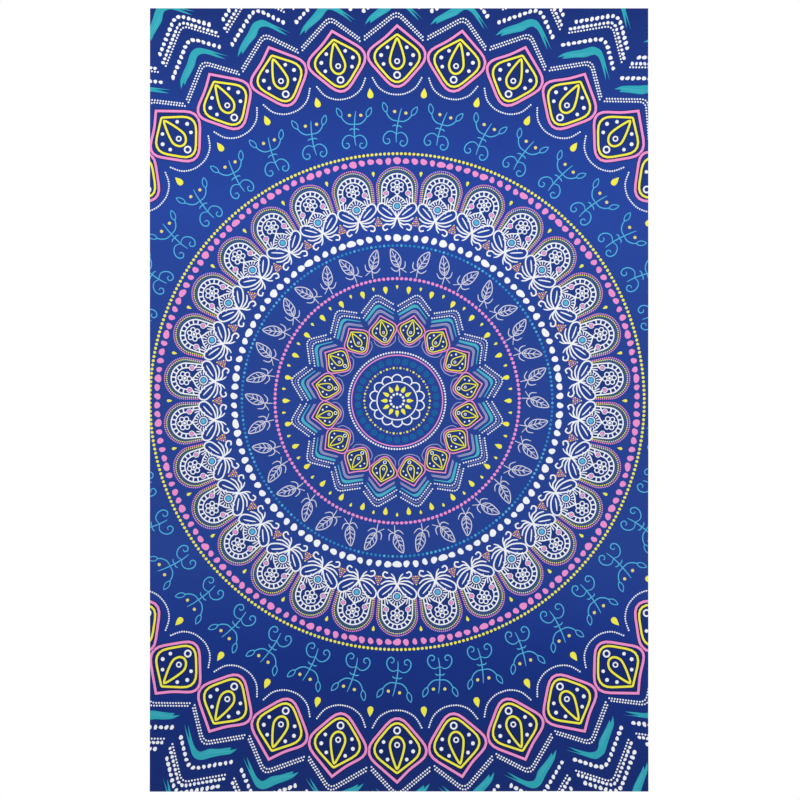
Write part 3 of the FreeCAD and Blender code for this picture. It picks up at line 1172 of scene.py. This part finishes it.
def painted_light_ramp(nodes, place):
    """Painted light and shade: the slow change of the blue down the cloth."""
    height = nodes.add("SeparateXYZ", (), _0=place).outputs[2]
    height = nodes.add("MapRange", (), _0=height, _1=FOOT_Z, _2=TOP_Z).outputs[0]
    ramp = nodes.add("ValToRGB", (), _0=height)
    stops = ramp.color_ramp.elements
    while len(stops) < len(PAINTED_LIGHT_STOPS):
        stops.new(1.0)
    for stop, (at, red, blue) in zip(stops, PAINTED_LIGHT_STOPS):
        stop.position = at
        stop.color = (red * 0.8, (red + blue) * 0.4, blue * 0.8, 1.0)
    return ramp.outputs[0]


def cloth_material(name, ink, gets_painted_light):
    """Printed woven cloth of one ink colour, with its weave, uneven threads and uneven dye in faint
    blotches, and on the blue grounds painted light and shade that change down the cloth.
    """
    nodes = Nodes(name)
    place = nodes.add("TexCoord").outputs["Object"]
    weave = thread_waves(nodes, place)
    streaks = slubs(nodes, place)
    cloud = nodes.noise(place, 7.0, Detail=4.0, Roughness=0.6)
    speck = nodes.noise(place, 420.0, Detail=2.0)

    shade = nodes.between(weave, 0.93, 1.03)
    for value, low, high in ((streaks, 0.9, 1.1), (cloud, 0.94, 1.06), (speck, 0.96, 1.04)):
        shade = nodes.sums("MULTIPLY", shade, nodes.between(value, low, high))
    shade = nodes.add("CombineColor", (), Red=shade, Green=shade, Blue=shade).outputs[0]
    paint = nodes.mix(1.0, ink, shade, "MULTIPLY")
    # Painted light and shade: the blue grounds are made brighter and darker down the cloth.
    if gets_painted_light:
        paint = nodes.mix(1.0, paint, painted_light_ramp(nodes, place), "MULTIPLY")
    height = nodes.sums("ADD", nodes.sums("MULTIPLY", weave, 0.7), nodes.sums("MULTIPLY", streaks, 0.6))
    nodes.surface(height, 0.35, 0.05 * MM, {
        "Base Color": paint,
        "Roughness": nodes.between(streaks, 0.68, 0.86),
        "Sheen Weight": 0.05,
        "Sheen Roughness": 0.5,
        "Specular IOR Level": 0.12,
    })
    return nodes.material


def thread_material():
    """Twisted navy sewing thread."""
    nodes = Nodes("sewing_thread")
    place = nodes.add("TexCoord").outputs["Object"]
    twist = nodes.waves(place, 900.0, "DIAGONAL")
    fuzz = nodes.noise(place, 1500.0)
    nodes.surface(twist, 0.5, 0.04 * MM, {
        "Base Color": nodes.mix(nodes.sums("MULTIPLY", twist, fuzz), *THREAD_COLOURS),
        "Roughness": nodes.between(fuzz, 0.45, 0.65),
        "Sheen Weight": 0.2,
    })
    return nodes.material


# ------------ the stage
# The height that the camera takes in, and where it stands from the middle of the cloth.
FRAME_HEIGHT = 2248 * MM
LENS, FILM = 100, 36
CAMERA_X, CAMERA_Z = 2.5 * MM, -0.7 * MM
FLOOR_DROP = 300 * MM
FLOOR_HALF = 1.3
LAMP_SIZE = 2.6
LAMPS = (
    ("key", (-0.9, -3.0, 1.3), 60),
    ("fill", (1.8, -3.2, -0.8), 26),
    ("behind", (0.6, 3.4, 0.6), 30),
)
ROOM_LIGHT = 0.55
WHITE = (1.0, 1.0, 1.0, 1.0)


def stage():
    """A pale floor under the hanging, and soft light from in front, a little stronger above."""
    nodes = Nodes("floor")
    place = nodes.add("TexCoord").outputs["Object"]
    grain = nodes.noise(place, 30.0, Detail=4.0)
    nodes.feed(nodes.shader, "Base Color", nodes.mix(grain, *FLOOR_COLOURS))
    nodes.feed(nodes.shader, "Roughness", 0.8)
    level = FOOT_Z - FLOOR_DROP
    corners = [(x * FLOOR_HALF, y * FLOOR_HALF, level) for x, y in ((-1, -1), (1, -1), (1, 1), (-1, 1))]
    mesh = bpy.data.meshes.new("floor")
    mesh.from_pydata(corners, [], [(0, 1, 2, 3)])
    mesh.materials.append(nodes.material)
    placed_object("floor", mesh)

    for name, place, power in LAMPS:
        lamp = bpy.data.lights.new(name, "AREA")
        lamp.size = LAMP_SIZE
        lamp.energy = power
        light = placed_object(name, lamp)
        light.location = place
        aim = Vector((0, 0, MIDDLE_Z)) - light.location
        light.rotation_euler = aim.to_track_quat("-Z", "Y").to_euler()

    world = bpy.data.worlds.new("room")
    world.use_nodes = True
    tree = world.node_tree
    ambient = tree.nodes["Background"]
    seen = tree.nodes.new("ShaderNodeBackground")
    for background, strength in ((ambient, ROOM_LIGHT), (seen, 1.0)):
        background.inputs["Color"].default_value = WHITE
        background.inputs["Strength"].default_value = strength
    path = tree.nodes.new("ShaderNodeLightPath")
    mix = tree.nodes.new("ShaderNodeMixShader")
    tree.links.new(path.outputs["Is Camera Ray"], mix.inputs[0])
    tree.links.new(ambient.outputs[0], mix.inputs[1])
    tree.links.new(seen.outputs[0], mix.inputs[2])
    tree.links.new(mix.outputs[0], tree.nodes["World Output"].inputs["Surface"])
    bpy.context.scene.world = world
    bpy.context.scene.view_settings.view_transform = "Standard"
    bpy.context.scene.view_settings.look = "None"

    lens = bpy.data.cameras.new("camera")
    lens.lens = LENS
    lens.sensor_width = FILM
    camera = placed_object("camera", lens)
    distance = FRAME_HEIGHT / 2 / (FILM / 2 / LENS)
    camera.location = (CAMERA_X, FRONT_Y - distance, MIDDLE_Z + CAMERA_Z)
    camera.rotation_euler = (math.pi / 2, 0, 0)
    bpy.context.scene.camera = camera


# ------------ assembly
stage()
art = artwork()
drape = Drape(hung_depths())
# The blue grounds' materials carry painted light and shade down the cloth.
inks = {name: cloth_material("cloth_" + name, colour(*ink), name in PAINTED_LIGHT_INKS) for name, ink in INKS.items()}
thread = thread_material()

cloth = cloth_piece(art, drape, inks)
trim = []
for edge, side in SIDES.items():
    hem = hem_piece(edge + "_hem_fold", side, art, drape, inks)
    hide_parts(edge + "_hem")
    needle = stitches_piece(edge + "_needle_stitches", side, drape, True, thread)
    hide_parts(edge + "_needle_thread")
    bobbin = stitches_piece(edge + "_bobbin_stitches", side, drape, False, thread)
    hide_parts(edge + "_bobbin_thread")
    trim += [hem, needle, bobbin]
for piece in trim:
    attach(piece, "root")
